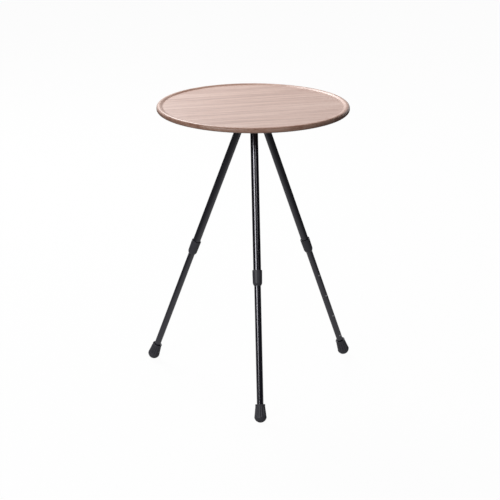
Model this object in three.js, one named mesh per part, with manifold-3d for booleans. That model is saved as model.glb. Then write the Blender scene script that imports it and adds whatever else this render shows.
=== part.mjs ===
// A light round side table on a folding tripod with telescopic legs.
// Millimetres, +Z up. The feet stand on z = 0, and the origin is under the middle of the whole
// object. One leg points to -Y, the front; the others are a third of a turn away on each side.
// The height follows from the legs: their lengths and the splay carry the board where it is.
import * as THREE from "three";
import { mergeVertices } from "three/addons/utils/BufferGeometryUtils.js";
import Module from "manifold-3d";

const wasm = await Module();
wasm.setup();

// Clearances and cutting
const seatGap = 0.3; // between two pieces that touch, press or screw together
const slideGap = 0.2; // radial, round the sleeve that slides in the upper tube
const cutOverrun = 2; // how far a cutter runs past the face that it opens

// Board
const boardRadius = 200;
const rimThickness = 11;
const rimWidth = 13.5;
const recessDepth = 2.5;
const crestWidth = 1.5;
const upperEdgeRadius = 5;
const lowerEdgeRadius = 4;
const woodOverFasteners = 3.5; // wood left between a blind hole and the sunken surface

// Mounting plate under the board, its wood screws and its threaded insert
const plateThickness = 3;
const plateMargin = 3; // from a screw head to the plate's edge
const plateScrewCount = 4;
const screwHeadRadius = 3.6;
const screwHeadHeight = 2.2;
const screwShankRadius = 1.8;
const screwTipHeight = 2;
const insertWall = 2.2;

// Hub
const discThickness = 5;
const discMargin = 1; // past the ears
const hingeRadius = 24.4; // from the table's axis to each hinge pin
const hingeDrop = 15.3; // from the disc's underside down to the pins
const earRadius = 8;
const earThickness = 4;
const bossWall = 6.7;
const bossHeight = 10;
const webHeight = 10; // the part of each ear that runs in to the boss

// Clamp screw, its clip and its knob
const clampScrewRadius = 4;
const clampTipHeight = 1.2;
const clipWidth = 2.5;
const clipThickness = 1;
const knobLegGap = 4.4; // from the knob to a leg folded in beside it
const knobHeight = 12;
const knobLobeDepth = 1.6;
const knobLobes = 6;
const knobEdge = 0.8;
const knobSocketDepth = 9;

// Hinge rivets
const rivetRadius = 2.5;
const rivetHeadRadius = 4.2;
const rivetHeadHeight = 1.6;

// Knuckle at the top of each leg
const tongueWidth = 10;
const shoulderGap = 1; // from the ears' round ends to the knuckle's shoulder
const shoulderHeight = 4;
const knucklePlugLength = 18;

// Upper tube
const upperTubeRadius = 8;
const upperTubeWall = 0.7;
const upperTubeLength = 313;
const crimpDepth = 0.35; // a rolled bead that keeps the lock from being drawn out
const crimpWidth = 2;
const crimpInset = 2; // from the ferrule's top, which hides it

// Ferrule on the lower end of the upper tube
const ferruleWall = 1.9;
const ferruleTaper = 0.5; // how much its radius falls towards the nose
const ferruleLength = 32;
const ferruleNoseLength = 6;
const ferruleNoseWall = 0.6;
const ferruleLipLength = 8; // the part below the upper tube's end
const ferruleEdge = 0.5;

// Lower tube
const tubeGap = 0.5; // radial, between the lower tube and the upper one
const lowerTubeWall = 0.8;
const extension = 242.5; // drawn out between the ferrule and the foot
const wipeGap = 0.15; // radial, where the ferrule's nose guides the lower tube

// Twist lock at the top of the lower tube
const spindleRadius = 2.6;
const spindlePlugLength = 12;
const spindleFlangeHeight = 1.5;
const shellLength = 14;
const slitWidth = 1.5;
const coneHeight = 5;
const coneMargin = 1.5; // the cone's edge stays this far inside the shell's

// Rubber foot and the steel washer in it
const footLength = 37.5;
const footTopRadius = 10;
const footDomeRadius = 12.9;
const footDomeEnd = -10; // degrees from its widest place: the flank meets the dome below it
const footFlat = 0.5; // depth of the flat that stands on the floor
const footLipHeight = 3;
const footLipOut = 0.4;
const soleThickness = 10;
const washerThickness = 1.5;

// Legs
const splay = THREE.MathUtils.degToRad(21.5); // from upright
const legs = [
  { name: "front", turn: THREE.MathUtils.degToRad(-90) },
  { name: "right", turn: THREE.MathUtils.degToRad(30) },
  { name: "left", turn: THREE.MathUtils.degToRad(150) },
];

// How many flats a round takes
const boardSides = 64;
const roundSides = 24;
const smallSides = 16;
const arcSteps = 3;
const eyeSteps = 5;
const domeSteps = 6;
const slopeSteps = 4;
const lobePoints = 36;

// Sizes that follow: rounds that fit in each other
const upperBoreRadius = upperTubeRadius - upperTubeWall;
const lowerTubeRadius = upperBoreRadius - tubeGap;
const lowerBoreRadius = lowerTubeRadius - lowerTubeWall;
const shellRadius = upperBoreRadius - slideGap;
const shellBoreRadius = spindleRadius + seatGap;
const bossRadius = clampScrewRadius + seatGap + bossWall;
const clipRadius = clampScrewRadius + clipWidth;
const knobRadius = hingeRadius - upperTubeRadius - knobLegGap;
const insertBoreRadius = clampScrewRadius + seatGap;
const insertRadius = insertBoreRadius + insertWall;
const discRadius = hingeRadius + earRadius + discMargin;
const screwCircle = discRadius + seatGap + screwHeadRadius + plateMargin;
const plateRadius = screwCircle + screwHeadRadius + plateMargin;
const earInner = tongueWidth / 2 + seatGap;

// Sizes that follow: places down a leg, measured from its hinge pin
const shoulderTop = earRadius + shoulderGap;
const upperTubeTop = shoulderTop + shoulderHeight + seatGap;
const upperTubeEnd = upperTubeTop + upperTubeLength;
const ferruleEnd = upperTubeEnd + ferruleLipLength;
const ferruleTop = ferruleEnd - ferruleLength;
const crimpMiddle = ferruleTop + crimpInset + crimpWidth / 2;
const shellEnd = crimpMiddle - crimpWidth / 2 - seatGap;
const lowerTubeTop = shellEnd + seatGap + spindleFlangeHeight + seatGap;
const footTop = ferruleEnd + extension;
const footTip = footTop + footLength;
const washerEnd = footTip - soleThickness - seatGap;
const lowerTubeEnd = washerEnd - washerThickness - seatGap;

// Sizes that follow: heights above the floor
const pinHeight = (footTip - footDomeRadius) * Math.cos(splay) + footDomeRadius - footFlat;
const discUnderside = pinHeight + hingeDrop;
const discTop = discUnderside + discThickness;
const plateUnderside = discTop + seatGap;
const plateTop = plateUnderside + plateThickness;
const boardUnderside = plateTop + seatGap;
const rimTop = boardUnderside + rimThickness;
const surfaceHeight = rimTop - recessDepth;
const blindTop = surfaceHeight - woodOverFasteners; // where the board's blind holes end
const bossEnd = discUnderside - bossHeight;
const knobTop = bossEnd - seatGap;

// Finishes
const wood = { color: 0xd9bfae, roughness: 0.5, metalness: 0 };
const blackTube = { color: 0x1c1d20, roughness: 0.35, metalness: 0.6 };
const greyPlastic = { color: 0x2e2e31, roughness: 0.6, metalness: 0 };
const rubber = { color: 0x2a2a2c, roughness: 0.85, metalness: 0 };
const steel = { color: 0x9a9b9e, roughness: 0.35, metalness: 1 };
const brass = { color: 0xb08a3e, roughness: 0.4, metalness: 1 };

// Geometry helpers

function solidOf(geometry) {
  const bare = geometry.clone();
  bare.deleteAttribute("normal");
  bare.deleteAttribute("uv");
  const merged = mergeVertices(bare);
  const index = merged.index.array;
  const triVerts = [];
  for (let i = 0; i < index.length; i += 3) {
    const [a, b, c] = [index[i], index[i + 1], index[i + 2]];
    if (a !== b && b !== c && c !== a) triVerts.push(a, b, c);
  }
  const vertProperties = merged.attributes.position.array;
  return new wasm.Manifold(
    new wasm.Mesh({ numProp: 3, vertProperties, triVerts: new Uint32Array(triVerts) }),
  );
}

function geometryOf(solid) {
  const mesh = solid.getMesh();
  const geometry = new THREE.BufferGeometry();
  geometry.setAttribute("position", new THREE.BufferAttribute(mesh.vertProperties, 3));
  geometry.setIndex(new THREE.BufferAttribute(mesh.triVerts, 1));
  geometry.computeVertexNormals();
  return geometry;
}

function join(...geometries) {
  return geometryOf(geometries.map(solidOf).reduce((whole, part) => whole.add(part)));
}

function cut(geometry, ...cutters) {
  return geometryOf(cutters.map(solidOf).reduce((rest, part) => rest.subtract(part), solidOf(geometry)));
}

// A round solid about Z from a profile of [radius, height] points that goes up its outside.
function revolve(profile, sides) {
  const points = profile.map(([radius, height]) => new THREE.Vector2(radius, height));
  return new THREE.LatheGeometry(points, sides).rotateX(Math.PI / 2);
}

// A plain round bar or washer from one height to another.
function bar(radius, low, high, sides) {
  return revolve([[0, low], [radius, low], [radius, high], [0, high]], sides);
}

function ring(inner, outer, low, high, sides) {
  return revolve([[inner, low], [outer, low], [outer, high], [inner, high], [inner, low]], sides);
}

// Points on an arc of a profile, both ends included.
function arc(centreRadius, centreHeight, radius, fromDegrees, toDegrees, steps) {
  return Array.from({ length: steps + 1 }, (_, i) => {
    const angle = THREE.MathUtils.degToRad(fromDegrees + ((toDegrees - fromDegrees) * i) / steps);
    return [centreRadius + radius * Math.cos(angle), centreHeight + radius * Math.sin(angle)];
  });
}

// An outline in the radial (X) and upright (Z) plane, made into a slab centred on Y = 0.
function slab(shape, thickness, curveSegments) {
  const geometry = new THREE.ExtrudeGeometry(shape, {
    depth: thickness,
    bevelEnabled: false,
    curveSegments,
  });
  return geometry.translate(0, 0, -thickness / 2).rotateX(Math.PI / 2);
}

function piece(name, geometry, finish) {
  const mesh = new THREE.Mesh(geometry, new THREE.MeshStandardMaterial(finish));
  mesh.name = name;
  return mesh;
}

// Board and what is fixed to it

function boardGeometry() {
  const innerCrest = boardRadius - upperEdgeRadius - crestWidth;
  const floorRadius = boardRadius - rimWidth;
  const slope = [];
  for (let i = 1; i <= slopeSteps; i++) {
    const share = i / slopeSteps;
    const fall = (recessDepth * (1 - Math.cos(Math.PI * share))) / 2;
    slope.push([innerCrest + (floorRadius - innerCrest) * share, rimTop - fall]);
  }
  const lowEdge = boardUnderside + lowerEdgeRadius;
  const highEdge = rimTop - upperEdgeRadius;
  const round = revolve(
    [
      [0, boardUnderside],
      ...arc(boardRadius - lowerEdgeRadius, lowEdge, lowerEdgeRadius, -90, 0, arcSteps),
      ...arc(boardRadius - upperEdgeRadius, highEdge, upperEdgeRadius, 0, 90, arcSteps),
      [innerCrest, rimTop],
      ...slope,
      [0, surfaceHeight],
    ],
    boardSides,
  );
  const low = boardUnderside - cutOverrun;
  const pilots = screwPlaces().map(([x, y]) =>
    bar(screwShankRadius + seatGap, low, blindTop, smallSides).translate(x, y, 0),
  );
  return cut(round, bar(insertRadius + seatGap, low, blindTop, roundSides), ...pilots);
}

function screwPlaces() {
  return Array.from({ length: plateScrewCount }, (_, i) => {
    const angle = ((i + 1 / 2) * 2 * Math.PI) / plateScrewCount;
    return [screwCircle * Math.cos(angle), screwCircle * Math.sin(angle)];
  });
}

function plateGeometry() {
  const disc = bar(plateRadius, plateUnderside, plateTop, boardSides);
  const headSeat = revolve(
    [
      [0, plateUnderside - cutOverrun],
      [screwHeadRadius + seatGap, plateUnderside - cutOverrun],
      [screwHeadRadius + seatGap, plateUnderside],
      [screwShankRadius + seatGap, plateUnderside + screwHeadHeight],
      [screwShankRadius + seatGap, plateTop + cutOverrun],
      [0, plateTop + cutOverrun],
    ],
    smallSides,
  );
  const seats = screwPlaces().map(([x, y]) => headSeat.clone().translate(x, y, 0));
  const low = plateUnderside - cutOverrun;
  const middle = bar(insertRadius + seatGap, low, plateTop + cutOverrun, roundSides);
  return cut(disc, middle, ...seats);
}

function plateScrewGeometry() {
  const tip = blindTop - seatGap;
  return revolve(
    [
      [0, plateUnderside],
      [screwHeadRadius, plateUnderside],
      [screwShankRadius, plateUnderside + screwHeadHeight],
      [screwShankRadius, tip - screwTipHeight],
      [0, tip],
    ],
    smallSides,
  );
}

function boardGroup() {
  const group = new THREE.Group();
  group.add(piece("tabletop_board", boardGeometry(), wood));
  group.add(piece("mounting_plate", plateGeometry(), blackTube));
  const insert = ring(insertBoreRadius, insertRadius, plateUnderside, blindTop - seatGap, roundSides);
  group.add(piece("threaded_insert", insert, brass));
  screwPlaces().forEach(([x, y], i) => {
    const screw = piece(`plate_screw_${i + 1}`, plateScrewGeometry(), steel);
    screw.position.set(x, y, 0);
    group.add(screw);
  });
  return group;
}

// Hub, and the screw and knob that hold the board on it

function earGeometry() {
  const shape = new THREE.Shape();
  const low = pinHeight;
  const webLow = discUnderside - webHeight;
  const inner = hingeRadius - earRadius;
  shape.moveTo(bossRadius / 2, discUnderside + discThickness / 2);
  shape.lineTo(bossRadius / 2, webLow);
  shape.lineTo(inner, webLow);
  shape.lineTo(inner, low);
  shape.absarc(hingeRadius, low, earRadius, Math.PI, 2 * Math.PI, false);
  shape.lineTo(hingeRadius + earRadius, discUnderside + discThickness / 2);
  return slab(shape, earThickness, eyeSteps);
}

// A cutter for the rivet's hole, through everything on both sides of Y = 0.
function rivetHole(halfLength) {
  return bar(rivetRadius + seatGap, -halfLength, halfLength, smallSides).rotateX(Math.PI / 2);
}

function hubGeometry() {
  const body = revolve(
    [
      [0, bossEnd],
      [bossRadius, bossEnd],
      [bossRadius, discUnderside],
      [discRadius, discUnderside],
      [discRadius, discTop],
      [0, discTop],
    ],
    boardSides / 2,
  );
  const ears = legs.flatMap(({ turn }) =>
    [-1, 1].map((side) =>
      earGeometry().translate(0, side * (earInner + earThickness / 2), 0).rotateZ(turn),
    ),
  );
  const bore = bar(clampScrewRadius + seatGap, bossEnd - cutOverrun, discTop + cutOverrun, roundSides);
  const clipSeat = discTop - clipThickness - seatGap;
  const clipPocket = bar(clipRadius + seatGap, clipSeat, discTop + cutOverrun, roundSides);
  const holes = legs.map(({ turn }) =>
    rivetHole(earInner + earThickness + cutOverrun).translate(hingeRadius, 0, pinHeight).rotateZ(turn),
  );
  return cut(join(body, ...ears), bore, clipPocket, ...holes);
}

function clampScrewGeometry() {
  const foot = knobTop - knobSocketDepth + seatGap;
  const tip = blindTop - seatGap - seatGap;
  return revolve(
    [
      [0, foot],
      [clampScrewRadius, foot],
      [clampScrewRadius, tip - clampTipHeight],
      [clampScrewRadius - clampTipHeight, tip],
      [0, tip],
    ],
    roundSides,
  );
}

function knobGeometry() {
  const outline = Array.from({ length: lobePoints }, (_, i) => {
    const angle = (2 * Math.PI * i) / lobePoints;
    const dip = (knobLobeDepth * (1 - Math.cos(knobLobes * angle))) / 2;
    const radius = knobRadius - knobEdge - dip;
    return new THREE.Vector2(radius * Math.cos(angle), radius * Math.sin(angle));
  });
  const body = new THREE.ExtrudeGeometry(new THREE.Shape(outline), {
    depth: knobHeight - knobEdge - knobEdge,
    bevelThickness: knobEdge,
    bevelSize: knobEdge,
    bevelSegments: 1,
  }).translate(0, 0, knobTop - knobHeight + knobEdge);
  const floor = knobTop - knobSocketDepth;
  return cut(body, bar(clampScrewRadius + seatGap, floor, knobTop + cutOverrun, roundSides));
}

function clipGeometry() {
  const high = discTop - seatGap / 2;
  return ring(clampScrewRadius + seatGap / 2, clipRadius, high - clipThickness, high, roundSides);
}

function hubGroup() {
  const group = new THREE.Group();
  group.add(piece("hub_body", hubGeometry(), greyPlastic));
  group.add(piece("clamp_screw", clampScrewGeometry(), steel));
  group.add(piece("clamp_knob", knobGeometry(), greyPlastic));
  group.add(piece("screw_clip", clipGeometry(), steel));
  return group;
}

// Legs. Each is drawn with its hinge pin at the origin and the leg along -Z.

function rivetGeometry() {
  const half = earInner + earThickness + seatGap;
  return revolve(
    [
      [0, -half - rivetHeadHeight],
      [rivetHeadRadius, -half - rivetHeadHeight / 2],
      [rivetHeadRadius, -half],
      [rivetRadius, -half],
      [rivetRadius, half],
      [rivetHeadRadius, half],
      [rivetHeadRadius, half + rivetHeadHeight / 2],
      [0, half + rivetHeadHeight],
    ],
    smallSides,
  ).rotateX(Math.PI / 2);
}

// The eye and tongue between the hub's ears, the stop that bears on the disc's underside, the
// shoulder on the tube's end and the plug inside the tube.
function knuckleGeometry() {
  const tongue = new THREE.Shape();
  tongue.absarc(0, 0, earRadius, 0, Math.PI, false);
  tongue.lineTo(-earRadius, -shoulderTop - shoulderHeight / 2);
  tongue.lineTo(earRadius, -shoulderTop - shoulderHeight / 2);
  const stopHeight = hingeDrop - seatGap;
  const stop = new THREE.BoxGeometry(earRadius, tongueWidth, stopHeight)
    .translate(earRadius / 2, 0, stopHeight / 2)
    .rotateY(splay);
  const shank = revolve(
    [
      [0, -upperTubeTop - knucklePlugLength],
      [upperBoreRadius - seatGap, -upperTubeTop - knucklePlugLength],
      [upperBoreRadius - seatGap, -shoulderTop - shoulderHeight],
      [upperTubeRadius, -shoulderTop - shoulderHeight],
      [upperTubeRadius, -shoulderTop],
      [0, -shoulderTop],
    ],
    roundSides,
  );
  const eye = rivetHole(tongueWidth / 2 + cutOverrun);
  return cut(join(slab(tongue, tongueWidth, eyeSteps), stop, shank), eye);
}

// The upper tube, with the rolled bead near its lower end.
function upperTubeGeometry() {
  const bead = (radius) => [
    [radius, -crimpMiddle - crimpWidth / 2],
    [radius - crimpDepth, -crimpMiddle],
    [radius, -crimpMiddle + crimpWidth / 2],
  ];
  return revolve(
    [
      [upperBoreRadius, -upperTubeEnd],
      [upperTubeRadius, -upperTubeEnd],
      ...bead(upperTubeRadius),
      [upperTubeRadius, -upperTubeTop],
      [upperBoreRadius, -upperTubeTop],
      ...bead(upperBoreRadius).reverse(),
      [upperBoreRadius, -upperTubeEnd],
    ],
    roundSides,
  );
}

function ferruleGeometry() {
  const outer = upperTubeRadius + seatGap + ferruleWall;
  const lowerBore = lowerTubeRadius + wipeGap;
  const upperBore = upperTubeRadius + seatGap;
  return revolve(
    [
      [lowerBore, -ferruleEnd],
      [lowerBore + ferruleNoseWall, -ferruleEnd],
      ...noseCurve(lowerBore + ferruleNoseWall, outer - ferruleTaper),
      [outer, -ferruleTop - ferruleEdge],
      [outer - ferruleEdge, -ferruleTop],
      [upperBore, -ferruleTop],
      [upperBore, -upperTubeEnd - seatGap],
      [lowerBore, -upperTubeEnd - seatGap],
      [lowerBore, -ferruleEnd],
    ],
    roundSides,
  );
}

// The ferrule's nose swells from the lower tube to the full width in a quarter wave.
function noseCurve(fromRadius, toRadius) {
  return Array.from({ length: arcSteps }, (_, i) => {
    const share = (i + 1) / arcSteps;
    const swell = Math.sin((Math.PI / 2) * share);
    return [fromRadius + (toRadius - fromRadius) * swell, -ferruleEnd + ferruleNoseLength * share];
  });
}

function lockShellGeometry() {
  const shell = ring(shellBoreRadius, shellRadius, -shellEnd, -shellEnd + shellLength, smallSides);
  const slit = new THREE.BoxGeometry(shellRadius + cutOverrun, slitWidth, shellLength + 2 * cutOverrun);
  slit.translate((shellRadius + cutOverrun) / 2, 0, -shellEnd + shellLength / 2);
  return cut(shell, slit);
}

function lockSpindleGeometry() {
  const plugRadius = lowerBoreRadius - seatGap;
  const flangeLow = -lowerTubeTop + seatGap;
  const coneLow = -shellEnd + shellLength + seatGap;
  return revolve(
    [
      [0, -lowerTubeTop - spindlePlugLength],
      [plugRadius, -lowerTubeTop - spindlePlugLength],
      [plugRadius, flangeLow],
      [lowerTubeRadius, flangeLow],
      [lowerTubeRadius, flangeLow + spindleFlangeHeight],
      [spindleRadius, flangeLow + spindleFlangeHeight],
      [spindleRadius, coneLow],
      [shellRadius - coneMargin, coneLow + coneHeight],
      [0, coneLow + coneHeight],
    ],
    smallSides,
  );
}

// The foot is drawn with its tip at z = 0 and its socket up, and is cut flat where it stands.
function footGeometry() {
  const bore = lowerTubeRadius + seatGap;
  const body = revolve(
    [
      ...arc(0, footDomeRadius, footDomeRadius, -90, footDomeEnd, domeSteps),
      [footTopRadius, footLength - footLipHeight],
      [footTopRadius + footLipOut, footLength - footLipHeight / 2],
      [footTopRadius, footLength],
      [bore, footLength],
      [bore, soleThickness],
      [0, soleThickness],
    ],
    roundSides,
  );
  const floor = new THREE.BoxGeometry(footLength, footLength, footLength)
    .translate(0, 0, -footLength / 2 - footDomeRadius + footFlat)
    .rotateY(splay)
    .translate(0, 0, footDomeRadius);
  return cut(body, floor);
}

function legGroup({ name, turn }) {
  const group = new THREE.Group();
  const hinge = new THREE.Group();
  group.rotation.z = turn;
  group.add(hinge);
  hinge.position.set(hingeRadius, 0, pinHeight);
  hinge.rotation.y = -splay;
  const lowerTube = ring(lowerBoreRadius, lowerTubeRadius, -lowerTubeEnd, -lowerTubeTop, roundSides);
  const washer = bar(lowerTubeRadius, -washerEnd, -washerEnd + washerThickness, roundSides);
  const foot = piece(`${name}_rubber_foot`, footGeometry(), rubber);
  foot.position.z = -footTip;
  hinge.add(
    piece(`${name}_hinge_rivet`, rivetGeometry(), steel),
    piece(`${name}_knuckle`, knuckleGeometry(), greyPlastic),
    piece(`${name}_upper_tube`, upperTubeGeometry(), blackTube),
    piece(`${name}_ferrule`, ferruleGeometry(), greyPlastic),
    piece(`${name}_lock_shell`, lockShellGeometry(), greyPlastic),
    piece(`${name}_lock_spindle`, lockSpindleGeometry(), greyPlastic),
    piece(`${name}_lower_tube`, lowerTube, blackTube),
    piece(`${name}_foot_washer`, washer, steel),
    foot,
  );
  return group;
}

// The whole table, set over the middle of the floor that it covers

const table = new THREE.Group();
table.add(boardGroup(), hubGroup(), ...legs.map(legGroup));
const extent = new THREE.Box3().setFromObject(table, true);
const middle = extent.getCenter(new THREE.Vector3());
table.position.set(-middle.x, -middle.y, 0);

const part = new THREE.Group();
part.add(table);
part.updateMatrixWorld(true);
export default part;
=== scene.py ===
import math

import bmesh
import bpy
from mathutils import Matrix, Vector


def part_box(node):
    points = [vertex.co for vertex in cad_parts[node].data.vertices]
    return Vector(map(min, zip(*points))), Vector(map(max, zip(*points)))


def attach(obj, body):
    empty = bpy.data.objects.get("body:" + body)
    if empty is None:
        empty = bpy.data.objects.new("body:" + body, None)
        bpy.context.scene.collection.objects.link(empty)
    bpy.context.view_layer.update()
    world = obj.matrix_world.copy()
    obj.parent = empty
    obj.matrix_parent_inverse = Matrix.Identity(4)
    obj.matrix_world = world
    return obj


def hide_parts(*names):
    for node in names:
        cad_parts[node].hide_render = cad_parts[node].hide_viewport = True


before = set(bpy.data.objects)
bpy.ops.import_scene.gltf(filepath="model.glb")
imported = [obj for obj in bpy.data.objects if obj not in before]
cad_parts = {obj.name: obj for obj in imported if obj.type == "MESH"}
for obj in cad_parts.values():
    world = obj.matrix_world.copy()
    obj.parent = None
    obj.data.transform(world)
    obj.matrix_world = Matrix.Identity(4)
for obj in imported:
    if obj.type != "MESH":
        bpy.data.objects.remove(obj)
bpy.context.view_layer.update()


# Board
# A round of pale hardwood turned from one blank: a flat surface sunk a little inside a rounded,
# raised rim with a thinner satin coat. The rim carries painted shade, darker and warmer, and its
# outer flank darker still. Its grain runs nearly from side to side, and its underside has blind
# holes for the plate's screws and the threaded insert.

mm = 0.001
board_radius = 200 * mm
rim_width = 13.5 * mm
rim_thickness = 11 * mm
recess_depth = 2.5 * mm
crest_width = 1.5 * mm
upper_edge = 5 * mm
lower_edge = 4 * mm
blind_depth = 5 * mm
screw_count = 4
screw_circle = 40.3 * mm
first_screw_turn = 45
pilot_radius = 2.1 * mm
insert_hole_radius = 6.8 * mm
overrun = 2 * mm
board_low, board_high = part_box("tabletop_board")
table_axis = (board_low + board_high) / 2
underside = board_low.z


def finished(name, mesh, sharp=38):
    """An object made of a bmesh, smooth but where it turns by more than that many degrees."""
    bmesh.ops.recalc_face_normals(mesh, faces=mesh.faces)
    data = bpy.data.meshes.new(name)
    mesh.to_mesh(data)
    mesh.free()
    data.shade_smooth()
    data.set_sharp_from_angle(angle=math.radians(sharp))
    piece = bpy.data.objects.new(name, data)
    bpy.context.scene.collection.objects.link(piece)
    return piece


def polar(radius, angle, height=0.0):
    """A point by its distance from the upright axis, its angle round it and its height."""
    return radius * math.cos(angle), radius * math.sin(angle), height


def ring(radius, height, sides=64):
    """Points round the upright axis at one height."""
    return [polar(radius, 2 * math.pi * i / sides, height) for i in range(sides)]


def stacked(rings, closed):
    """Each ring with the next one, and also the last with the first where they are closed."""
    return zip(rings, rings[1:] + rings[:1] if closed else rings[1:])


def turned(name, profile, sides=96):
    """A solid turned about the upright axis from points of radius and height."""
    mesh = bmesh.new()
    closed = profile[0] == profile[-1]
    rings = []
    for radius, height in profile[:-1] if closed else profile:
        points = ring(radius, height, sides if radius > 0 else 1)
        rings.append([mesh.verts.new(point) for point in points])
    for low, high in stacked(rings, closed):
        for i in range(sides):
            j = (i + 1) % sides
            corners = [low[i % len(low)], low[j % len(low)], high[j % len(high)], high[i % len(high)]]
            corners = list(dict.fromkeys(corners))
            if len(corners) > 2:
                mesh.faces.new(corners)
    return finished(name, mesh)


def rounded(*corners, steps=5, lead=0.125):
    """An outline through corners of x, y and, where a corner is rounded, its radius.

    A point before and after each arc, by that share of its radius, keeps the sides beside it flat.
    """
    outline = []
    for i, (x, y, *radius) in enumerate(corners):
        corner = Vector((x, y))
        if not radius:
            outline.append((x, y))
            continue
        back = (Vector(corners[i - 1][:2]) - corner).normalized()
        on = (Vector(corners[(i + 1) % len(corners)][:2]) - corner).normalized()
        half = back.angle(on) / 2
        reach = radius[0] / math.tan(half)
        centre = corner + (back + on).normalized() * radius[0] / math.sin(half)
        start = corner + back * reach - centre
        sweep = start.angle_signed(corner + on * reach - centre)
        outline.append(tuple(corner + back * (reach + radius[0] * lead)))
        for k in range(steps + 1):
            outline.append(tuple(centre + Matrix.Rotation(-sweep * k / steps, 2) @ start))
        outline.append(tuple(corner + on * (reach + radius[0] * lead)))
    return outline


def carved(piece, joined=(), removed=(), sharp=38):
    """Joins other solids to a piece and cuts others out of it, for good."""
    for operation, tools in (("UNION", joined), ("DIFFERENCE", removed)):
        for tool in tools:
            step = piece.modifiers.new(operation.lower(), "BOOLEAN")
            step.operation = operation
            step.solver = "EXACT"
            step.object = tool
    bpy.context.view_layer.update()
    whole = bpy.data.meshes.new_from_object(piece.evaluated_get(bpy.context.evaluated_depsgraph_get()))
    piece.modifiers.clear()
    piece.data = whole
    whole.name = piece.name
    whole.shade_smooth()
    whole.set_sharp_from_angle(angle=math.radians(sharp))
    for tool in (*joined, *removed):
        bpy.data.objects.remove(tool)
    weighted = piece.modifiers.new("flat_faces_stay_flat", "WEIGHTED_NORMAL")
    weighted.keep_sharp = True
    return piece


def screw_places():
    """The plate's screws stand on a circle, each between two quarters."""
    angles = [math.radians(first_screw_turn + 360 * i / screw_count) for i in range(screw_count)]
    return [Vector(polar(screw_circle, angle)) for angle in angles]


def drill(radius, low, high, place=(0, 0, 0), sides=48):
    """A round cutter from one height to another."""
    cutter = turned("drill", [(0, low), (radius, low), (radius, high), (0, high)], sides)
    cutter.location = place
    return cutter


class Shade:
    """One output of a material's nodes. What is worked out from it adds the nodes that it needs."""

    def __init__(self, socket):
        self.socket = socket

    def node(self, kind, settings, sockets, out=0):
        """Any node: its settings, with a ramp's stops, and then its sockets' values or links."""
        tree = self.socket.id_data
        node = tree.nodes.new("ShaderNode" + kind)
        for name, value in settings.items():
            if name == "stops":
                while len(node.color_ramp.elements) < len(value):
                    node.color_ramp.elements.new(0.5)
                for element, (position, colour) in zip(node.color_ramp.elements, value):
                    element.position = position
                    element.color = colour
            else:
                setattr(node, name, value)
        for name, value in sockets.items():
            if isinstance(value, Shade):
                tree.links.new(value.socket, node.inputs[name])
            else:
                node.inputs[name].default_value = value
        return Shade(node.outputs[out]) if node.outputs else None

    def __getitem__(self, out):
        return Shade(self.socket.node.outputs[out])

    def math(self, operation, *values):
        return self.node("Math", {"operation": operation}, dict(enumerate(values)))

    def __add__(self, other):
        return self.math("ADD", self, other)

    def __sub__(self, other):
        return self.math("SUBTRACT", self, other)

    def __rsub__(self, other):
        return self.math("SUBTRACT", other, self)

    def __mul__(self, other):
        return self.math("MULTIPLY", self, other)

    def __truediv__(self, other):
        return self.math("DIVIDE", self, other)

    def __rtruediv__(self, other):
        return self.math("DIVIDE", other, self)

    __radd__ = __add__
    __rmul__ = __mul__

    def between(self, low, high):
        """0 up to the low value, 1 from the high one, and smooth between them."""
        settings = {"interpolation_type": "SMOOTHSTEP"}
        return self.node("MapRange", settings, {"Value": self, "From Min": low, "From Max": high})

    def around(self, middle, spread):
        """A pattern of 0 to 1 made into values round a middle one, such as a roughness."""
        return middle + (self - 0.5) * spread

    def mixed(self, other, share):
        """This pattern by its share, and another by the rest."""
        return self * share + other * (1 - share)

    def stretched(self, x, y, z):
        """A place on the piece, or a colour, with each of its three parts multiplied."""
        return self.node("VectorMath", {"operation": "MULTIPLY"}, {0: self, 1: (x, y, z)})

    def noise(self, scale=1.0, detail=2.0, roughness=0.5):
        sockets = {"Vector": self, "Scale": scale, "Detail": detail, "Roughness": roughness}
        return self.node("TexNoise", {}, sockets)

    def blend(self, first, second):
        """One colour where this is 0 and another where it is 1."""
        sockets = {0: self, 6: first, 7: second}
        return self.node("Mix", {"data_type": "RGBA", "clamp_factor": True}, sockets, out=2)

    def bump(self, strength, distance):
        return self.node("Bump", {}, {"Strength": strength, "Distance": distance, "Height": self})

    def surface(self, colour, roughness, **sockets):
        """Ends a material with its colour, its roughness and any other sockets given. Only colour,
        roughness, coat weight and normal may vary over the piece.
        """
        values = {"Base Color": colour, "Roughness": roughness}
        for name, value in sockets.items():
            values[name.replace("_", " ")] = value
        shader = self.node("BsdfPrincipled", {}, values)
        self.node("OutputMaterial", {}, {"Surface": shader})


def finish(name):
    """A new material, and the place on the piece that carries it, which its colours start from."""
    material = bpy.data.materials.new(name)
    material.use_nodes = True
    material.node_tree.nodes.clear()
    place = material.node_tree.nodes.new("ShaderNodeTexCoord")
    return material, Shade(place.outputs["Object"])


def dressed(piece, material):
    """Puts a finish on all of a piece."""
    piece.data.materials.clear()
    piece.data.materials.append(material)
    return piece


def rgb(red, green, blue):
    """A colour given as it looks on a screen, from 0 to 255, in the linear values of the nodes."""
    parts = [c / 255 for c in (red, green, blue)]
    return tuple(c / 12.92 if c <= 0.04045 else ((c + 0.055) / 1.055) ** 2.4 for c in parts) + (1.0,)


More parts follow.
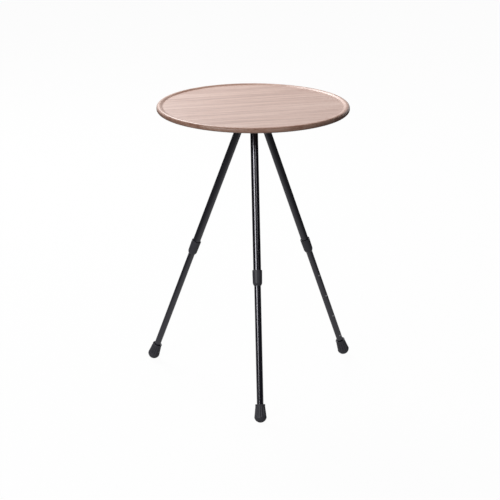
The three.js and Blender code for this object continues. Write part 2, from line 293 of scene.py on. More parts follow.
inner_crest = board_radius - upper_edge - crest_width
slope_width = rim_width - upper_edge - crest_width
slope_steps = 12
slope = []
for i in range(1, slope_steps + 1):
    share = i / slope_steps
    fall = recess_depth * (1 - math.cos(math.pi * share)) / 2
    slope.append((inner_crest - slope_width * share, rim_thickness - fall))
board_profile = rounded(
    (0, 0),
    (board_radius, 0, lower_edge),
    (board_radius, rim_thickness, upper_edge),
    (inner_crest, rim_thickness),
    *slope,
    (0, rim_thickness - recess_depth),
    steps=9,
)
board = turned("wood_board", board_profile, sides=256)
board.location = (table_axis.x, table_axis.y, underside)
holes = [drill(insert_hole_radius, -overrun, blind_depth, board.location)]
for screw_place in screw_places():
    holes.append(drill(pilot_radius, -overrun, blind_depth, board.location + screw_place))
bpy.context.view_layer.update()
carved(board, removed=holes)

grain_turn = math.radians(-11.5)
sway_across = 6 * mm
sway_up = 4 * mm
band_share = 0.6
streak_share = 2.2
thread_share = 1.4
pore_depth = 0.35
wood_stops = [(0.1, rgb(187, 139, 120)), (0.5, rgb(215, 172, 154)), (0.9, rgb(233, 196, 180))]
pore_brown = rgb(120, 86, 70)
rim_start = board_radius - rim_width
rim_fade = 3 * mm
flank_start = board_radius - 3.2 * mm
flank_full = board_radius - 1.2 * mm
underside_fade = 0.6 * mm
# Painted shade on the rim and, darker again, on its outer flank.
rim_painted_shade = (0.9, 0.86, 0.82)
flank_painted_shade = (0.86, 0.86, 0.86)

board_wood, place = finish("board_wood")
grain = place.node("VectorRotate", {"rotation_type": "Z_AXIS"}, {"Vector": place, "Angle": grain_turn})
waver = grain.stretched(5, 5, 5).noise() - 0.5
sway = grain.node("CombineXYZ", {}, {"Y": waver * sway_across, "Z": waver * sway_up})
fibres = grain.node("VectorMath", {"operation": "ADD"}, {0: grain, 1: sway})
bands = fibres.stretched(1.2, 22, 22).noise()
streaks = fibres.stretched(2.6, 95, 95).noise(detail=4.0, roughness=0.65)
threads = fibres.stretched(12, 600, 600).noise()
pores = fibres.stretched(70, 2600, 2600).noise(detail=0.0).between(0.66, 0.72)
tone = (bands - 0.5) * band_share + (streaks - 0.5) * streak_share + (threads - 0.5) * thread_share + 0.5
wood = tone.node("ValToRGB", {"stops": wood_stops}, {"Fac": tone})
wood = (pores * pore_depth).blend(wood, pore_brown)
from_axis = place.node("VectorMath", {"operation": "LENGTH"}, {0: place.stretched(1, 1, 0)}, out=1)
above = place.node("SeparateXYZ", {}, {"Vector": place}, out=2).between(0.0, underside_fade)
# Painted shade: the rim is made darker and warmer, and its outer flank darker still, where they turn from
# the light.
on_rim = from_axis.between(rim_start, rim_start + rim_fade) * above
painted_shade_on_flank = from_axis.between(flank_start, flank_full) * above
wood = on_rim.blend(wood, wood.stretched(*rim_painted_shade))
wood = painted_shade_on_flank.blend(wood, wood.stretched(*flank_painted_shade))
relief = threads * 0.6 + streaks * 0.4 - pores * 0.8
place.surface(
    wood,
    streaks.around(0.42, 0.12),
    Coat_Weight=0.5 - on_rim * 0.2,
    Coat_Roughness=0.4,
    Normal=relief.bump(0.12, 0.2 * mm),
)
dressed(board, board_wood)
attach(board, "board")
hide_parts("tabletop_board")


# Mounting plate, its screws and the threaded insert
# A round of 3 mm aluminium under the board, blasted and black, held by four countersunk wood
# screws with cross recesses. In its middle a brass insert, pressed into the wood, takes the
# clamp screw.

plate_thickness = 3 * mm
plate_radius = 46.9 * mm
plate_edge = 0.7 * mm
seat_gap = 0.3 * mm
head_radius = 3.6 * mm
head_height = 2.2 * mm
head_edge = 0.15 * mm
shank_radius = 1.8 * mm
neck_edge = 0.4 * mm
point_length = 2 * mm
point_edge = 0.3 * mm
insert_bore = 4.3 * mm
insert_radius = 6.5 * mm
insert_edge = 0.4 * mm
plate_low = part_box("mounting_plate")[0].z
screw_length = underside + blind_depth - seat_gap - plate_low

black_metal, place = finish("black_metal")
blast = place.noise(2600)
cloud = place.noise(60, detail=3.0)
place.surface(
    blast.mixed(cloud, 0.5).blend(rgb(26, 27, 30), rgb(46, 47, 51)),
    cloud.around(0.42, 0.15),
    Metallic=0.35,
    Normal=blast.bump(0.15, 0.05 * mm),
)

bright_steel, place = finish("bright_steel")
brushing = place.noise(900, detail=3.0)
place.surface(
    brushing.blend(rgb(150, 151, 154), rgb(196, 197, 199)),
    brushing.around(0.32, 0.16),
    Metallic=1.0,
    Normal=brushing.bump(0.08, 0.03 * mm),
)

brass, place = finish("insert_brass")
lathe_marks = place.stretched(1, 1, 9).noise(700)
place.surface(
    lathe_marks.blend(rgb(163, 124, 58), rgb(204, 168, 92)),
    lathe_marks.around(0.35, 0.14),
    Metallic=1.0,
    Normal=lathe_marks.bump(0.1, 0.03 * mm),
)

plate_profile = rounded(
    (0, 0),
    (plate_radius, 0, plate_edge),
    (plate_radius, plate_thickness, plate_edge),
    (0, plate_thickness),
    steps=4,
)
plate = turned("plate", plate_profile, sides=128)
plate.location = (table_axis.x, table_axis.y, plate_low)
sink = [
    (0, -overrun),
    (head_radius + seat_gap, -overrun),
    (head_radius + seat_gap, 0),
    (shank_radius + seat_gap, head_height),
    (shank_radius + seat_gap, plate_thickness + overrun),
    (0, plate_thickness + overrun),
]
holes = [drill(insert_hole_radius, -overrun, plate_thickness + overrun, plate.location, sides=64)]
for screw_place in screw_places():
    countersink = turned("countersink", sink, sides=48)
    countersink.location = plate.location + screw_place
    holes.append(countersink)
bpy.context.view_layer.update()
carved(plate, removed=holes)
dressed(plate, black_metal)
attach(plate, "board")
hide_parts("mounting_plate")


def block(name, width, depth, low, high):
    """A square bar from one height to another, used as a cutter."""
    mesh = bmesh.new()
    bmesh.ops.create_cube(mesh, size=1)
    for vertex in mesh.verts:
        vertex.co.x *= width
        vertex.co.y *= depth
        vertex.co.z = low if vertex.co.z < 0 else high
    return finished(name, mesh)


recess_across = 4.2 * mm
recess_width = 0.9 * mm
recess_height = 1.4 * mm
first_cross_turn = 0.6
next_cross_turn = 1.1
screw_profile = rounded(
    (0, 0),
    (head_radius, 0, head_edge),
    (shank_radius, head_height, neck_edge),
    (shank_radius, screw_length - point_length, point_edge),
    (0, screw_length),
    steps=3,
)
for i, screw_place in enumerate(screw_places()):
    screw = turned(f"plate_screw_{i + 1}_steel", screw_profile, sides=48)
    screw.location = plate.location + screw_place
    cross_turn = Matrix.Rotation(first_cross_turn + next_cross_turn * i, 4, "Z")
    cross = [
        block("slot", recess_across, recess_width, -overrun, recess_height),
        block("slot", recess_width, recess_across, -overrun, recess_height),
    ]
    for arm in cross:
        arm.matrix_world = Matrix.Translation(screw.location) @ cross_turn
    carved(screw, removed=cross)
    dressed(screw, bright_steel)
    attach(screw, "board")
    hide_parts(f"plate_screw_{i + 1}")

thread_pitch = 1.25 * mm
thread_depth = 0.5 * mm
rows_per_turn = 8


def thread(low, high, radius, sides=64):
    """Rows of points round a screw thread, from one height to another."""
    row_count = max(2, round((high - low) / thread_pitch * rows_per_turn))
    made = []
    for k in range(row_count + 1):
        height = low + (high - low) * k / row_count
        row = []
        for i in range(sides):
            turns = (height / thread_pitch - i / sides) % 1
            depth = thread_depth * abs(2 * turns - 1)
            row.append(polar(radius - depth, 2 * math.pi * i / sides, height))
        made.append(row)
    return made


def skinned(name, rows, closed=False):
    """A solid through rows of points, closed at both ends or run round on itself."""
    mesh = bmesh.new()
    rings = [[mesh.verts.new(point) for point in row] for row in rows]
    for low, high in stacked(rings, closed):
        for i in range(len(low)):
            j = (i + 1) % len(low)
            mesh.faces.new((low[i], low[j], high[j], high[i]))
    if not closed:
        mesh.faces.new(reversed(rings[0]))
        mesh.faces.new(rings[-1])
    return finished(name, mesh)


insert_height = screw_length
insert = skinned(
    "insert_sleeve",
    [
        ring(insert_bore + insert_edge, 0),
        ring(insert_radius - insert_edge, 0),
        ring(insert_radius, insert_edge),
        ring(insert_radius, insert_height - insert_edge),
        ring(insert_radius - insert_edge, insert_height),
        ring(insert_bore + insert_edge + thread_depth, insert_height),
        *reversed(thread(insert_edge, insert_height - insert_edge, insert_bore + thread_depth)),
    ],
    closed=True,
)
insert.location = plate.location
dressed(insert, brass)
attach(insert, "board")
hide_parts("threaded_insert")


# Hub
# The spider that carries the legs, moulded in black glass-filled nylon: a disc under the plate,
# a boss round the clamp screw and a pair of ears for each leg. Its outer edges are rounded.

disc_thickness = 5 * mm
hinge_radius = 24.4 * mm
hinge_drop = 15.3 * mm
disc_radius = 33.4 * mm
boss_radius = 11 * mm
boss_height = 10 * mm
boss_fillet = 1.5 * mm
web_height = 10 * mm
ear_radius = 8 * mm
ear_thickness = 4 * mm
ear_inner = 5.3 * mm
hub_edge = 0.8 * mm
rivet_hole = 2.8 * mm
pin_reach = 20 * mm
clip_radius = 6.5 * mm
clip_thickness = 1 * mm
hub_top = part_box("hub_body")[1].z
disc_low = hub_top - disc_thickness
boss_low = disc_low - boss_height
pin_height = disc_low - hinge_drop
along_pin = Matrix.Rotation(math.pi / 2, 4, "X")

# Where each leg points, in degrees round the table's axis from its right-hand side.
legs = {"front": -90, "right": 30, "left": 150}


def arc(radius, first, last, x=0.0, z=0.0, steps=16):
    """Points round x and z from one angle to another, both in degrees."""
    angles = [math.radians(first + (last - first) * k / steps) for k in range(steps + 1)]
    return [(x + radius * math.cos(angle), z + radius * math.sin(angle)) for angle in angles]


def slab(name, outline, thickness, edge, steps=3):
    """An outline in x and z made into a slab centred on y = 0, with all its edges rounded."""
    mesh = bmesh.new()
    base = mesh.faces.new([mesh.verts.new((x, -thickness / 2, z)) for x, z in outline])
    pushed = bmesh.ops.extrude_face_region(mesh, geom=[base])["geom"]
    moved = [v for v in pushed if isinstance(v, bmesh.types.BMVert)]
    bmesh.ops.translate(mesh, vec=(0, thickness, 0), verts=moved)
    bmesh.ops.recalc_face_normals(mesh, faces=mesh.faces)
    across = [e for e in mesh.edges if abs(e.verts[0].co.y - e.verts[1].co.y) < thickness / 2]
    bmesh.ops.bevel(mesh, geom=across, offset=edge, segments=steps, profile=0.5, affect="EDGES")
    return finished(name, mesh)


def turn_about_axis(degrees):
    """Stands on the table's axis at floor level, with x along that turn."""
    stand = Matrix.Translation((table_axis.x, table_axis.y, 0))
    return stand @ Matrix.Rotation(math.radians(degrees), 4, "Z")


hub_profile = rounded(
    (0, boss_low),
    (boss_radius, boss_low, hub_edge),
    (boss_radius, disc_low, boss_fillet),
    (disc_radius, disc_low, hub_edge),
    (disc_radius, hub_top, hub_edge),
    (0, hub_top),
)
hub = turned("hub_spider", hub_profile, sides=128)
hub.matrix_world = turn_about_axis(0)
ear_outline = [
    (boss_radius / 2, disc_low + disc_thickness / 2),
    (boss_radius / 2, disc_low - web_height),
    (hinge_radius - ear_radius, disc_low - web_height),
    *arc(ear_radius, 180, 360, hinge_radius, pin_height),
    (hinge_radius + ear_radius, disc_low + disc_thickness / 2),
]
ears = []
cuts = []
for turn in legs.values():
    for side in (-1, 1):
        ear = slab("ear", ear_outline, ear_thickness, hub_edge)
        shift = Matrix.Translation((0, side * (ear_inner + ear_thickness / 2), 0))
        ear.matrix_world = turn_about_axis(turn) @ shift
        ears.append(ear)
    pin = drill(rivet_hole, -pin_reach, pin_reach)
    pin.matrix_world = turn_about_axis(turn) @ Matrix.Translation((hinge_radius, 0, pin_height)) @ along_pin
    cuts.append(pin)
bore = drill(insert_bore, boss_low - overrun, hub_top + overrun, sides=64)
pocket = drill(clip_radius + seat_gap, hub_top - clip_thickness - seat_gap, hub_top + overrun, sides=64)
for cutter in (bore, pocket):
    cutter.matrix_world = turn_about_axis(0)
    cuts.append(cutter)
carved(hub, ears, cuts, sharp=30)

hub_plastic, place = finish("hub_plastic")
grainy = place.noise(1800)
flow = place.noise(45, detail=3.0)
place.surface(
    flow.mixed(grainy, 0.7).blend(rgb(36, 36, 39), rgb(52, 52, 55)),
    flow.around(0.5, 0.15),
    Normal=grainy.bump(0.18, 0.06 * mm),
)
dressed(hub, hub_plastic)
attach(hub, "hub")
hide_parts("hub_body")


# Clamp screw, its clip and its knob
# An 8 mm zinc-plated screw through the boss, kept in the hub by a spring steel clip in a pocket
# under the plate. A moulded knob with six lobes is pressed on its lower end.

clamp_radius = 4 * mm
clamp_edge = 0.4 * mm
clamp_tip = 1.2 * mm
tip_edge_height = 0.1 * mm
tip_edge_width = 0.2 * mm
thread_start = 2 * mm
thread_run_out = 0.3 * mm
screw_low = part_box("clamp_screw")[0].z
screw_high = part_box("clamp_screw")[1].z
thread_low = disc_low - thread_start

clamp_screw = skinned(
    "clamp_bolt",
    [
        ring(clamp_radius - clamp_edge, screw_low),
        ring(clamp_radius, screw_low + clamp_edge),
        ring(clamp_radius, thread_low - thread_run_out),
        ring(clamp_radius - thread_depth, thread_low),
        *thread(thread_low, screw_high - clamp_tip, clamp_radius)[1:],
        ring(clamp_radius - clamp_tip, screw_high - tip_edge_height),
        ring(clamp_radius - clamp_tip - tip_edge_width, screw_high),
    ],
)
clamp_screw.matrix_world = turn_about_axis(0)
dressed(clamp_screw, bright_steel)
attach(clamp_screw, "clamp")
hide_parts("clamp_screw")

clip_bore = clamp_radius + seat_gap / 2
clip_edge = 0.15 * mm
clip_gap_width = 2.4 * mm
clip_gap_depth = 10 * mm
clip_gap_turn = 80
clip_top = hub_top - seat_gap / 2
clip_low = clip_top - clip_thickness
clip_profile = [
    (clip_bore, clip_low),
    (clip_radius - clip_edge, clip_low),
    (clip_radius, clip_low + clip_edge),
    (clip_radius, clip_top - clip_edge),
    (clip_radius - clip_edge, clip_top),
    (clip_bore, clip_top),
    (clip_bore, clip_low),
]
clip = turned("spring_clip", clip_profile)
clip.matrix_world = turn_about_axis(0)
clip_gap = block("gap", clip_gap_depth, clip_gap_width, clip_low - overrun, clip_top + overrun)
clip_gap.matrix_world = turn_about_axis(clip_gap_turn) @ Matrix.Translation((clip_radius, 0, 0))
carved(clip, removed=[clip_gap])
dressed(clip, bright_steel)
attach(clip, "clamp")
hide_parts("screw_clip")

knob_radius = 12 * mm
knob_height = 12 * mm
knob_lobes = 6
knob_lobe_depth = 1.6 * mm
knob_socket = 9 * mm
knob_low_edge = 1.6 * mm
knob_low_rim = 0.4 * mm
knob_top_edge = 0.8 * mm
knob_top_rim = 0.3 * mm
rim_roundness = 0.1
knob_top = boss_low - seat_gap
knob_low = knob_top - knob_height

# The dish in the knob's underside: how far in from its edge, and how high.
knob_dish = [
    (9.0 * mm, 0.9 * mm),
    (7.2 * mm, 0.9 * mm),
    (6.4 * mm, 0.75 * mm),
    (5.0 * mm, 0.1 * mm),
    (4.6 * mm, 0.0),
]


def knob_ring(inset, height, roundness=0.0, points=144):
    """A ring round the knob; at full roundness its lobes are gone."""
    made = []
    for i in range(points):
        angle = 2 * math.pi * i / points
        dip = knob_lobe_depth * (1 - math.cos(knob_lobes * angle)) / 2 * (1 - roundness)
        made.append(polar(knob_radius - dip - inset, angle, height))
    return made


def quarter(steps):
    """How far in and how far up a quarter round runs, as shares of its radius."""
    angles = [math.pi / 2 * k / steps for k in range(steps + 1)]
    return [(1 - math.sin(angle), 1 - math.cos(angle)) for angle in angles]


rows = [knob_ring(inset, knob_low + rise, 1.0) for inset, rise in knob_dish]
rows.append(knob_ring(knob_low_edge + knob_low_rim, knob_low, rim_roundness))
for inward, up in quarter(6):
    rows.append(knob_ring(knob_low_edge * inward, knob_low + knob_low_edge * up))
for down, inward in quarter(4):
    rows.append(knob_ring(knob_top_edge * inward, knob_top - knob_top_edge * down))
rows.append(knob_ring(knob_top_edge + knob_top_rim, knob_top, rim_roundness))
knob = skinned("knob_grip", rows)
knob.matrix_world = turn_about_axis(0)
socket = drill(clamp_radius + seat_gap, knob_top - knob_socket, knob_top + overrun, sides=64)
socket.matrix_world = turn_about_axis(0)
carved(knob, removed=[socket])
dressed(knob, hub_plastic)
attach(knob, "clamp")
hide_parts("clamp_knob")


# Hinge rivets
# Solid steel rivets of 5 mm, closed with a low dome on each side of the ears. Each is the pin
# that a leg folds on.

rivet_radius = 2.5 * mm
rivet_head_radius = 4.2 * mm
rivet_head_height = 1.6 * mm
rivet_head_rim = 0.3 * mm
rivet_half = ear_inner + ear_thickness + seat_gap
rivet_steps = 7


def leg_frame(leg):
    """A leg's own place: origin on its hinge pin, z up along the leg, x outward, y along the pin."""
    pin_low, pin_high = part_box(f"{leg}_hinge_rivet")
    foot_low, foot_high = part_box(f"{leg}_foot_washer")
    middle = (pin_low + pin_high) / 2
    up = (middle - (foot_low + foot_high) / 2).normalized()
    across = Matrix.Rotation(math.radians(legs[leg] + 90), 3, "Z") @ Vector((1, 0, 0))
    out = across.cross(up)
    directions = Matrix((out, across, up)).transposed().to_4x4()
    return Matrix.Translation(middle) @ directions


head = [(rivet_radius, rivet_half), (rivet_head_radius, rivet_half)]
for k in range(rivet_steps):
    angle = math.pi / 2 * k / rivet_steps
    rise = (rivet_head_height - rivet_head_rim) * math.sin(angle)
    head.append((rivet_head_radius * math.cos(angle), rivet_half + rivet_head_rim + rise))
head.append((0, rivet_half + rivet_head_height))
rivet_profile = [(radius, -height) for radius, height in reversed(head)] + head
for leg in legs:
    rivet = turned(f"{leg}_rivet", rivet_profile, sides=48)
    rivet.matrix_world = leg_frame(leg) @ along_pin
    dressed(rivet, bright_steel)
    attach(rivet, "hub")
    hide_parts(f"{leg}_hinge_rivet")


# Knuckles
# The end fitting of each leg, moulded in the same nylon: a tongue with the hinge eye between the
# ears, a stop that bears on the disc at the spread position, and a plug glued in the upper tube.

tongue_width = 10 * mm
tongue_foot = 5.9 * mm
shoulder_top = 9 * mm
shoulder_height = 4 * mm
plug_length = 18 * mm
tube_radius = 8 * mm
tube_bore = 7.3 * mm
tube_top = 13.3 * mm
splay = math.radians(21.5)
knuckle_edge = 0.6 * mm
tongue_low = -shoulder_top - shoulder_height / 2
stop_top = hinge_drop - seat_gap

tongue_outline = arc(ear_radius, 0, 180) + [(-tongue_foot, tongue_low), (tongue_foot, tongue_low)]
stop_outline = [(0, 0), (ear_radius, 0), (ear_radius, stop_top), (0, stop_top)]
shank_profile = rounded(
    (0, -tube_top - plug_length),
    (tube_bore - seat_gap, -tube_top - plug_length, knuckle_edge),
    (tube_bore - seat_gap, -shoulder_top - shoulder_height),
    (tube_radius, -shoulder_top - shoulder_height),
    (tube_radius, -shoulder_top, knuckle_edge),
    (0, -shoulder_top),
)
for leg in legs:
    tongue = slab(f"{leg}_knuckle_end", tongue_outline, tongue_width, knuckle_edge)
    stop = slab("stop", stop_outline, tongue_width, knuckle_edge)
    stop.matrix_world = Matrix.Rotation(splay, 4, "Y")
    shank = turned("shank", shank_profile, sides=64)
    eye = drill(rivet_hole, -pin_reach, pin_reach)
    eye.matrix_world = along_pin
    carved(tongue, [stop, shank], [eye], sharp=30)
    tongue.matrix_world = leg_frame(leg)
    dressed(tongue, hub_plastic)
    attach(tongue, f"{leg}_upper_leg")
    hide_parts(f"{leg}_knuckle")


# Upper tubes
# Drawn aluminium tube of 16 mm, anodised black with a satin sheen, a touch blue. A shallow bead
# rolled in near the lower end keeps the lock inside; the ferrule hides it.

upper_length = 313 * mm
crimp_middle = 305.3 * mm
crimp_half = 1 * mm
crimp_depth = 0.35 * mm
crimp_steps = 8
crimp_lead = 1.5
tube_edge = 0.15 * mm
tube_end = tube_top + upper_length
film_index = 1.95
film_tint = (0.94, 0.93, 1.0, 1.0)


def anodised(name, dark, light):
    """A finish for drawn tube, with its colour, its sheen and its fine lines."""
    material, place = finish(name)
    drawn = place.stretched(1, 1, 0.02).noise(1200)
    speckle = place.noise(3200)
    film = drawn.mixed(speckle, 0.6).blend(dark, light)
    fine = drawn.mixed(speckle, 0.5).bump(0.02, 0.02 * mm)
    return material, place, film, drawn.around(0.2, 0.04), fine


black_tube, place, film, sheen, fine = anodised("black_tube", rgb(23, 22, 30), rgb(34, 33, 42))
place.surface(film, sheen, IOR=film_index, Specular_Tint=film_tint, Normal=fine)


def bead(radius):
    """The bead's outline down the wall, from above, with a point of the plain wall at each end."""
    outline = [(radius, -crimp_middle + crimp_half * crimp_lead)]
    for k in range(crimp_steps + 1):
        share = k / crimp_steps
        dip = crimp_depth * (1 - math.cos(2 * math.pi * share)) / 2
        outline.append((radius - dip, -crimp_middle + crimp_half * (1 - 2 * share)))
    outline.append((radius, -crimp_middle - crimp_half * crimp_lead))
    return outline


def tube_profile(outer, bore, low, high, beaded=False):
    """A tube's outline with its edges broken, and with the bead in both walls if it has one."""
    return [
        (bore + tube_edge, low),
        (outer - tube_edge, low),
        (outer, low + tube_edge),
        *(reversed(bead(outer)) if beaded else ()),
        (outer, high - tube_edge),
        (outer - tube_edge, high),
        (bore + tube_edge, high),
        (bore, high - tube_edge),
        *(bead(bore) if beaded else ()),
        (bore, low + tube_edge),
        (bore + tube_edge, low),
    ]


upper_profile = tube_profile(tube_radius, tube_bore, -tube_end, -tube_top, beaded=True)
for leg in legs:
    tube = turned(f"{leg}_tube_upper", upper_profile, sides=72)
    tube.matrix_world = leg_frame(leg)
    dressed(tube, black_tube)
    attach(tube, f"{leg}_upper_leg")
    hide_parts(f"{leg}_upper_tube")


# Ferrules
# Moulded collars, glued on the lower end of the upper tubes. Each tapers a little, and its
# rounded nose guides the lower tube. The bore is chamfered at the top, which shows as a dark line.

ferrule_top = 302.3 * mm
ferrule_end = 334.3 * mm
ferrule_radius = 10.2 * mm
ferrule_taper = 0.5 * mm
ferrule_edge = 0.6 * mm
ferrule_rim = 0.9 * mm
ferrule_bore = 8.3 * mm
chamfer_depth = 1.4 * mm
nose_bore = 6.95 * mm
nose_wall = 0.6 * mm
nose_length = 6 * mm
nose_edge_width = 0.15 * mm
nose_edge_height = 0.2 * mm
nose_steps = 8

ferrule_plastic, place = finish("ferrule_plastic")
texture = place.noise(1500, detail=3.0)
mottle = place.noise(120, detail=3.0)
place.surface(
    texture.mixed(mottle, 0.4).blend(rgb(70, 69, 76), rgb(88, 87, 95)),
    mottle.around(0.42, 0.08),
    Normal=texture.bump(0.25, 0.08 * mm),
)

nose = []
nose_low = nose_bore + nose_wall
nose_high = ferrule_radius - ferrule_taper
for k in range(nose_steps + 1):
    share = k / nose_steps
    radius = nose_low + (nose_high - nose_low) * math.sin(math.pi / 2 * share)
    nose.append((radius, -ferrule_end + nose_length * share))
ferrule_profile = rounded(
    (nose_bore, -ferrule_end + nose_edge_height),
    (nose_bore + nose_edge_width, -ferrule_end),
    *nose,
    (ferrule_radius, -ferrule_top, ferrule_edge),
    (ferrule_radius - ferrule_rim, -ferrule_top),
    (ferrule_bore, -ferrule_top - chamfer_depth),
    (ferrule_bore, -tube_end - seat_gap),
    (nose_bore, -tube_end - seat_gap),
    (nose_bore, -ferrule_end + nose_edge_height),
)
for leg in legs:
    ferrule = turned(f"{leg}_collar", ferrule_profile, sides=72)
    ferrule.matrix_world = leg_frame(leg)
    dressed(ferrule, ferrule_plastic)
    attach(ferrule, f"{leg}_upper_leg")
    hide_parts(f"{leg}_ferrule")


# Twist locks
# A split sleeve and the cone that spreads it, moulded in natural acetal. They stay inside the
# upper tube, so the solids carry on as they are with a finish of their own.

lock_plastic, place = finish("lock_plastic")
waxy = place.noise(300)
place.surface(
    waxy.blend(rgb(205, 203, 196), rgb(222, 220, 213)),
    waxy.around(0.38, 0.1),
    Normal=waxy.bump(0.05, 0.05 * mm),
)
for leg in legs:
    for node in (f"{leg}_lock_shell", f"{leg}_lock_spindle"):
        dressed(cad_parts[node], lock_plastic)


# Lower tubes
# The thinner tubes that slide and twist in the upper ones, in anodised aluminium a shade paler.
# Each has a row of four short white dashes on one side. The row faces another way on each leg.

lower_radius = 6.8 * mm
lower_bore = 6.0 * mm
lower_top = 306.1 * mm
lower_end = 602.2 * mm
first_mark = 398.3 * mm
mark_pitch = 54.9 * mm
mark_count = 4
mark_height = 2.8 * mm
mark_width = 7.4 * mm
mark_blur_height = 0.1 * mm
mark_blur_width = 0.15 * mm
mark_side_blur = 1 * mm
scale_blur = 0.01
mark_white = rgb(236, 236, 238)
mark_turn = {"front": 86, "right": -71, "left": 270}

marked_tube, place, film, sheen, fine = anodised("marked_tube", rgb(29, 28, 37), rgb(43, 42, 53))
apart = place.node("SeparateXYZ", {}, {"Vector": place})
down = (apart["Z"] * -1 - (first_mark - mark_pitch / 2)) / mark_pitch
in_scale = down.between(0.0, scale_blur) * (1 - down.between(mark_count - scale_blur, mark_count))
off_mark = down.math("ABSOLUTE", down.math("FRACT", down) - 0.5) * mark_pitch
beside = apart["Y"].math("ABSOLUTE", apart["Y"])
half_high = mark_height / 2
half_wide = mark_width / 2
on_line = 1 - off_mark.between(half_high - mark_blur_height, half_high + mark_blur_height)
in_width = 1 - beside.between(half_wide - mark_blur_width, half_wide + mark_blur_width)
on_side = apart["X"].between(0.0, mark_side_blur)
white_dashes = in_scale * on_line * in_width * on_side
place.surface(
    white_dashes.blend(film, mark_white),
    sheen + white_dashes * 0.4,
    IOR=film_index,
    Specular_Tint=film_tint,
    Normal=fine,
)

lower_profile = tube_profile(lower_radius, lower_bore, -lower_end, -lower_top)
for leg in legs:
    tube = turned(f"{leg}_tube_lower", lower_profile, sides=72)
    tube.matrix_world = leg_frame(leg) @ Matrix.Rotation(math.radians(mark_turn[leg]), 4, "Z")
    dressed(tube, marked_tube)
    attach(tube, f"{leg}_lower_leg")
    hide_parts(f"{leg}_lower_tube")


# Feet
# Moulded rubber caps pushed on the lower tubes, with a steel washer inside against the tube's
# end. They swell downward, with twelve narrow flutes, and end in a blunt dome, worn flat where it
# stands on the floor.

foot_tip = 614.3 * mm
foot_length = 37.5 * mm
foot_top_radius = 10 * mm
foot_dome = 12.9 * mm
foot_dome_end = -10
foot_bore = 7.1 * mm
foot_mouth = 1.6 * mm
foot_rim = 0.9 * mm
flank_shares = (0.03, 0.12, 0.2, 0.8, 0.88, 0.95)
lip_height = 3 * mm
lip_middle = 1.5 * mm
lip_out = 0.4 * mm
lip_hollow = 4 * mm
lip_round = 0.6 * mm
rim_round = 0.5 * mm
mouth_round = 0.3 * mm
sole = 10 * mm
flute_count = 12
flute_depth = 1.4 * mm
flute_narrowing = 2.5
sides_per_flute = 16
flank_wall = 1 * mm
nearby = 0.1 * mm
cut_size = 60 * mm

foot_rubber, place = finish("foot_rubber")
dust = place.noise(220, detail=4.0)
pebble = place.noise(1300, detail=3.0)
place.surface(
    dust.mixed(pebble, 0.7).blend(rgb(66, 65, 72), rgb(88, 87, 95)),
    dust.around(0.48, 0.12),
    Normal=pebble.bump(0.3, 0.1 * mm),
)

foot_profile = arc(foot_dome, -90, foot_dome_end, z=foot_dome, steps=20)
foot_profile[0] = (0, 0)
flank_low = Vector(foot_profile[-1])
flank_high = Vector((foot_top_radius, foot_length - lip_height))
flank = [tuple(flank_low.lerp(flank_high, share)) for share in flank_shares]
foot_profile += rounded(
    foot_profile[-1],
    *flank,
    (*flank_high, lip_hollow),
    (foot_top_radius + lip_out, foot_length - lip_middle, lip_round),
    (foot_top_radius, foot_length, rim_round),
    (foot_top_radius - foot_rim, foot_length, mouth_round),
    (foot_bore, foot_length - foot_mouth),
    (foot_bore, sole),
    (0, sole),
    steps=4,
)[1:]
flute_low, deep_low, deep_high, flute_high = [height for radius, height in flank[1:5]]


def fluted(piece):
    """Presses the flutes into a foot's flank, half as deep at both ends."""
    for vertex in piece.data.vertices:
        height = vertex.co.z + foot_tip
        radius = vertex.co.xy.length
        if radius > foot_bore + flank_wall and flute_low - nearby < height < flute_high + nearby:
            is_deep = deep_low - nearby < height < deep_high + nearby
            depth = flute_depth if is_deep else flute_depth / 2
            wave = (1 + math.cos(flute_count * math.atan2(vertex.co.y, vertex.co.x))) / 2
            vertex.co.xy *= 1 - depth * wave ** flute_narrowing / radius


for leg in legs:
    outline = [(radius, height - foot_tip) for radius, height in foot_profile]
    foot = turned(f"{leg}_foot_cap", outline, sides=flute_count * sides_per_flute)
    fluted(foot)
    foot.matrix_world = leg_frame(leg)
    floor_cut = block("floor_cut", cut_size, cut_size, -cut_size, 0)
    foot_low, foot_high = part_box(f"{leg}_rubber_foot")
    middle = (foot_low + foot_high) / 2
    floor_cut.location = (middle.x, middle.y, 0)
    bpy.context.view_layer.update()
    carved(foot, removed=[floor_cut])
    dressed(foot, foot_rubber)
    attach(foot, f"{leg}_lower_leg")
    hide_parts(f"{leg}_rubber_foot")
    dressed(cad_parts[f"{leg}_foot_washer"], bright_steel)


# Studio
# A pale floor that runs out of sight, with a painted pool of light near the table that only
# reflections see, and a white backdrop far behind. A large soft lamp stands high behind the table
# on the left, and two lower ones stand in front of it, left and right. The camera is well back and
# looks down.

floor_reach = 40.0
floor_drop = 0.1 * mm
floor_grey = (0.08, 0.08, 0.08, 1)
white = (1, 1, 1, 1)
seen_share = 0.97
# Where the floor's painted pool of light lies, how bright reflections see it and how it fades.
patch_behind = 0.3
patch_start = 0.3
patch_end = 1.2
gloss_near = 0.4
gloss_lost = 0.35


def shown(place, colour, seen):
    """White to the rays that see it, by that share, and a plain lit surface to the rest."""
    lit = place.node("BsdfDiffuse", {}, {"Color": colour})
    glow = place.node("Emission", {}, {"Color": white, "Strength": 1.0})
    return place.node("MixShader", {}, {0: seen, 1: lit, 2: glow})


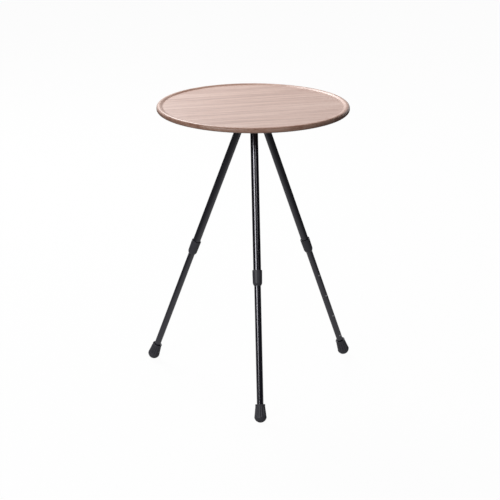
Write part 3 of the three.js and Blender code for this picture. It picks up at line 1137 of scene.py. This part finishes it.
mesh = bmesh.new()
bmesh.ops.create_grid(mesh, x_segments=1, y_segments=1, size=floor_reach)
floor = finished("floor", mesh)
floor.location.z = -floor_drop
floor_white, place = finish("floor_white")
paths = place.node("LightPath", {}, {})
looked_at = paths["Is Camera Ray"].math("MAXIMUM", paths["Is Camera Ray"], paths["Is Transmission Ray"])
# Painted reflection: near the table the floor glows for glossy rays, as a painted pool of light that fades
# further off.
painted_light_patch = {0: place, 1: (table_axis.x, table_axis.y + patch_behind, 0)}
from_patch = place.node("VectorMath", {"operation": "DISTANCE"}, painted_light_patch, out=1)
painted_light_in_gloss = gloss_near - from_patch.between(patch_start, patch_end) * gloss_lost
seen = looked_at * seen_share + paths["Is Glossy Ray"] * painted_light_in_gloss
pale = shown(place, looked_at.blend(floor_grey, white), seen)
clear = place.node("BsdfTransparent", {}, {})
below = place.node("NewGeometry", {}, {}, out="Backfacing")
place.node("OutputMaterial", {}, {"Surface": place.node("MixShader", {}, {0: below, 1: pale, 2: clear})})
floor_white.cycles.emission_sampling = "NONE"
floor.data.materials.append(floor_white)

backdrop_distance = 8.0
backdrop_half_width = 9.0
backdrop_height = 5.0
mesh = bmesh.new()
corners = []
for x, z in ((-1, 0), (1, 0), (1, 1), (-1, 1)):
    corners.append(mesh.verts.new((x * backdrop_half_width, backdrop_distance, z * backdrop_height)))
mesh.faces.new(corners)
backdrop = finished("backdrop", mesh)
paper, place = finish("backdrop_paper")
paths = place.node("LightPath", {}, {})
seen = paths["Is Camera Ray"].math("MAXIMUM", paths["Is Camera Ray"], paths["Is Glossy Ray"])
seen = seen.math("MAXIMUM", seen, paths["Is Transmission Ray"])
place.node("OutputMaterial", {}, {"Surface": shown(place, floor_grey, seen)})
paper.cycles.emission_sampling = "NONE"
backdrop.data.materials.append(paper)

sky_level = 0.03
sky_in_gloss = 0.0
world = bpy.data.worlds.new("studio")
bpy.context.scene.world = world
world.use_nodes = True
world.node_tree.nodes.clear()
paths = Shade(world.node_tree.nodes.new("ShaderNodeLightPath").outputs[0])
looked_at = paths.math("MAXIMUM", paths["Is Camera Ray"], paths["Is Transmission Ray"])
strength = looked_at * (1 - sky_level) + paths["Is Glossy Ray"] * (sky_in_gloss - sky_level) + sky_level
sky = paths.node("Background", {}, {"Color": white, "Strength": strength})
paths.node("OutputWorld", {}, {"Surface": sky})

lamp_distance = 3.0
lit_height = 0.45


def lamp(name, turn, lift, width, height, watts):
    """A soft rectangular lamp that faces the table: its turn from the front to the right, and its lift."""
    turn = math.radians(turn)
    lift = math.radians(lift)
    away = Vector((math.sin(turn) * math.cos(lift), -math.cos(turn) * math.cos(lift), math.sin(lift)))
    light = bpy.data.lights.new(name, "AREA")
    light.shape = "RECTANGLE"
    light.size = width
    light.size_y = height
    light.energy = watts
    stand = bpy.data.objects.new(name, light)
    stand.location = Vector((table_axis.x, table_axis.y, lit_height)) + away * lamp_distance
    stand.rotation_euler = (-away).to_track_quat("-Z", "Y").to_euler()
    bpy.context.scene.collection.objects.link(stand)


lamp("key_lamp", turn=-158, lift=44, width=1.3, height=1.3, watts=75)
lamp("left_lamp", turn=-36, lift=22, width=1.0, height=1.2, watts=34)
lamp("right_lamp", turn=28, lift=32, width=0.6, height=1.15, watts=7)

camera_place = (-0.2392, -3.5158, 1.4637)
camera_pitch = 0.3192
camera_yaw = 0.0657
camera_roll = 0.0019
camera = bpy.data.objects.new("camera", bpy.data.cameras.new("camera"))
camera.data.sensor_width = 36.0
camera.data.lens = 126.74
camera.data.clip_end = 200
aim = Matrix.Rotation(-camera_yaw, 4, "Z") @ Matrix.Rotation(math.pi / 2 - camera_pitch, 4, "X")
roll = Matrix.Rotation(camera_roll, 4, "Z")
camera.matrix_world = Matrix.Translation(camera_place) @ aim @ roll
bpy.context.scene.collection.objects.link(camera)
bpy.context.scene.camera = camera
bpy.context.scene.view_settings.view_transform = "Standard"
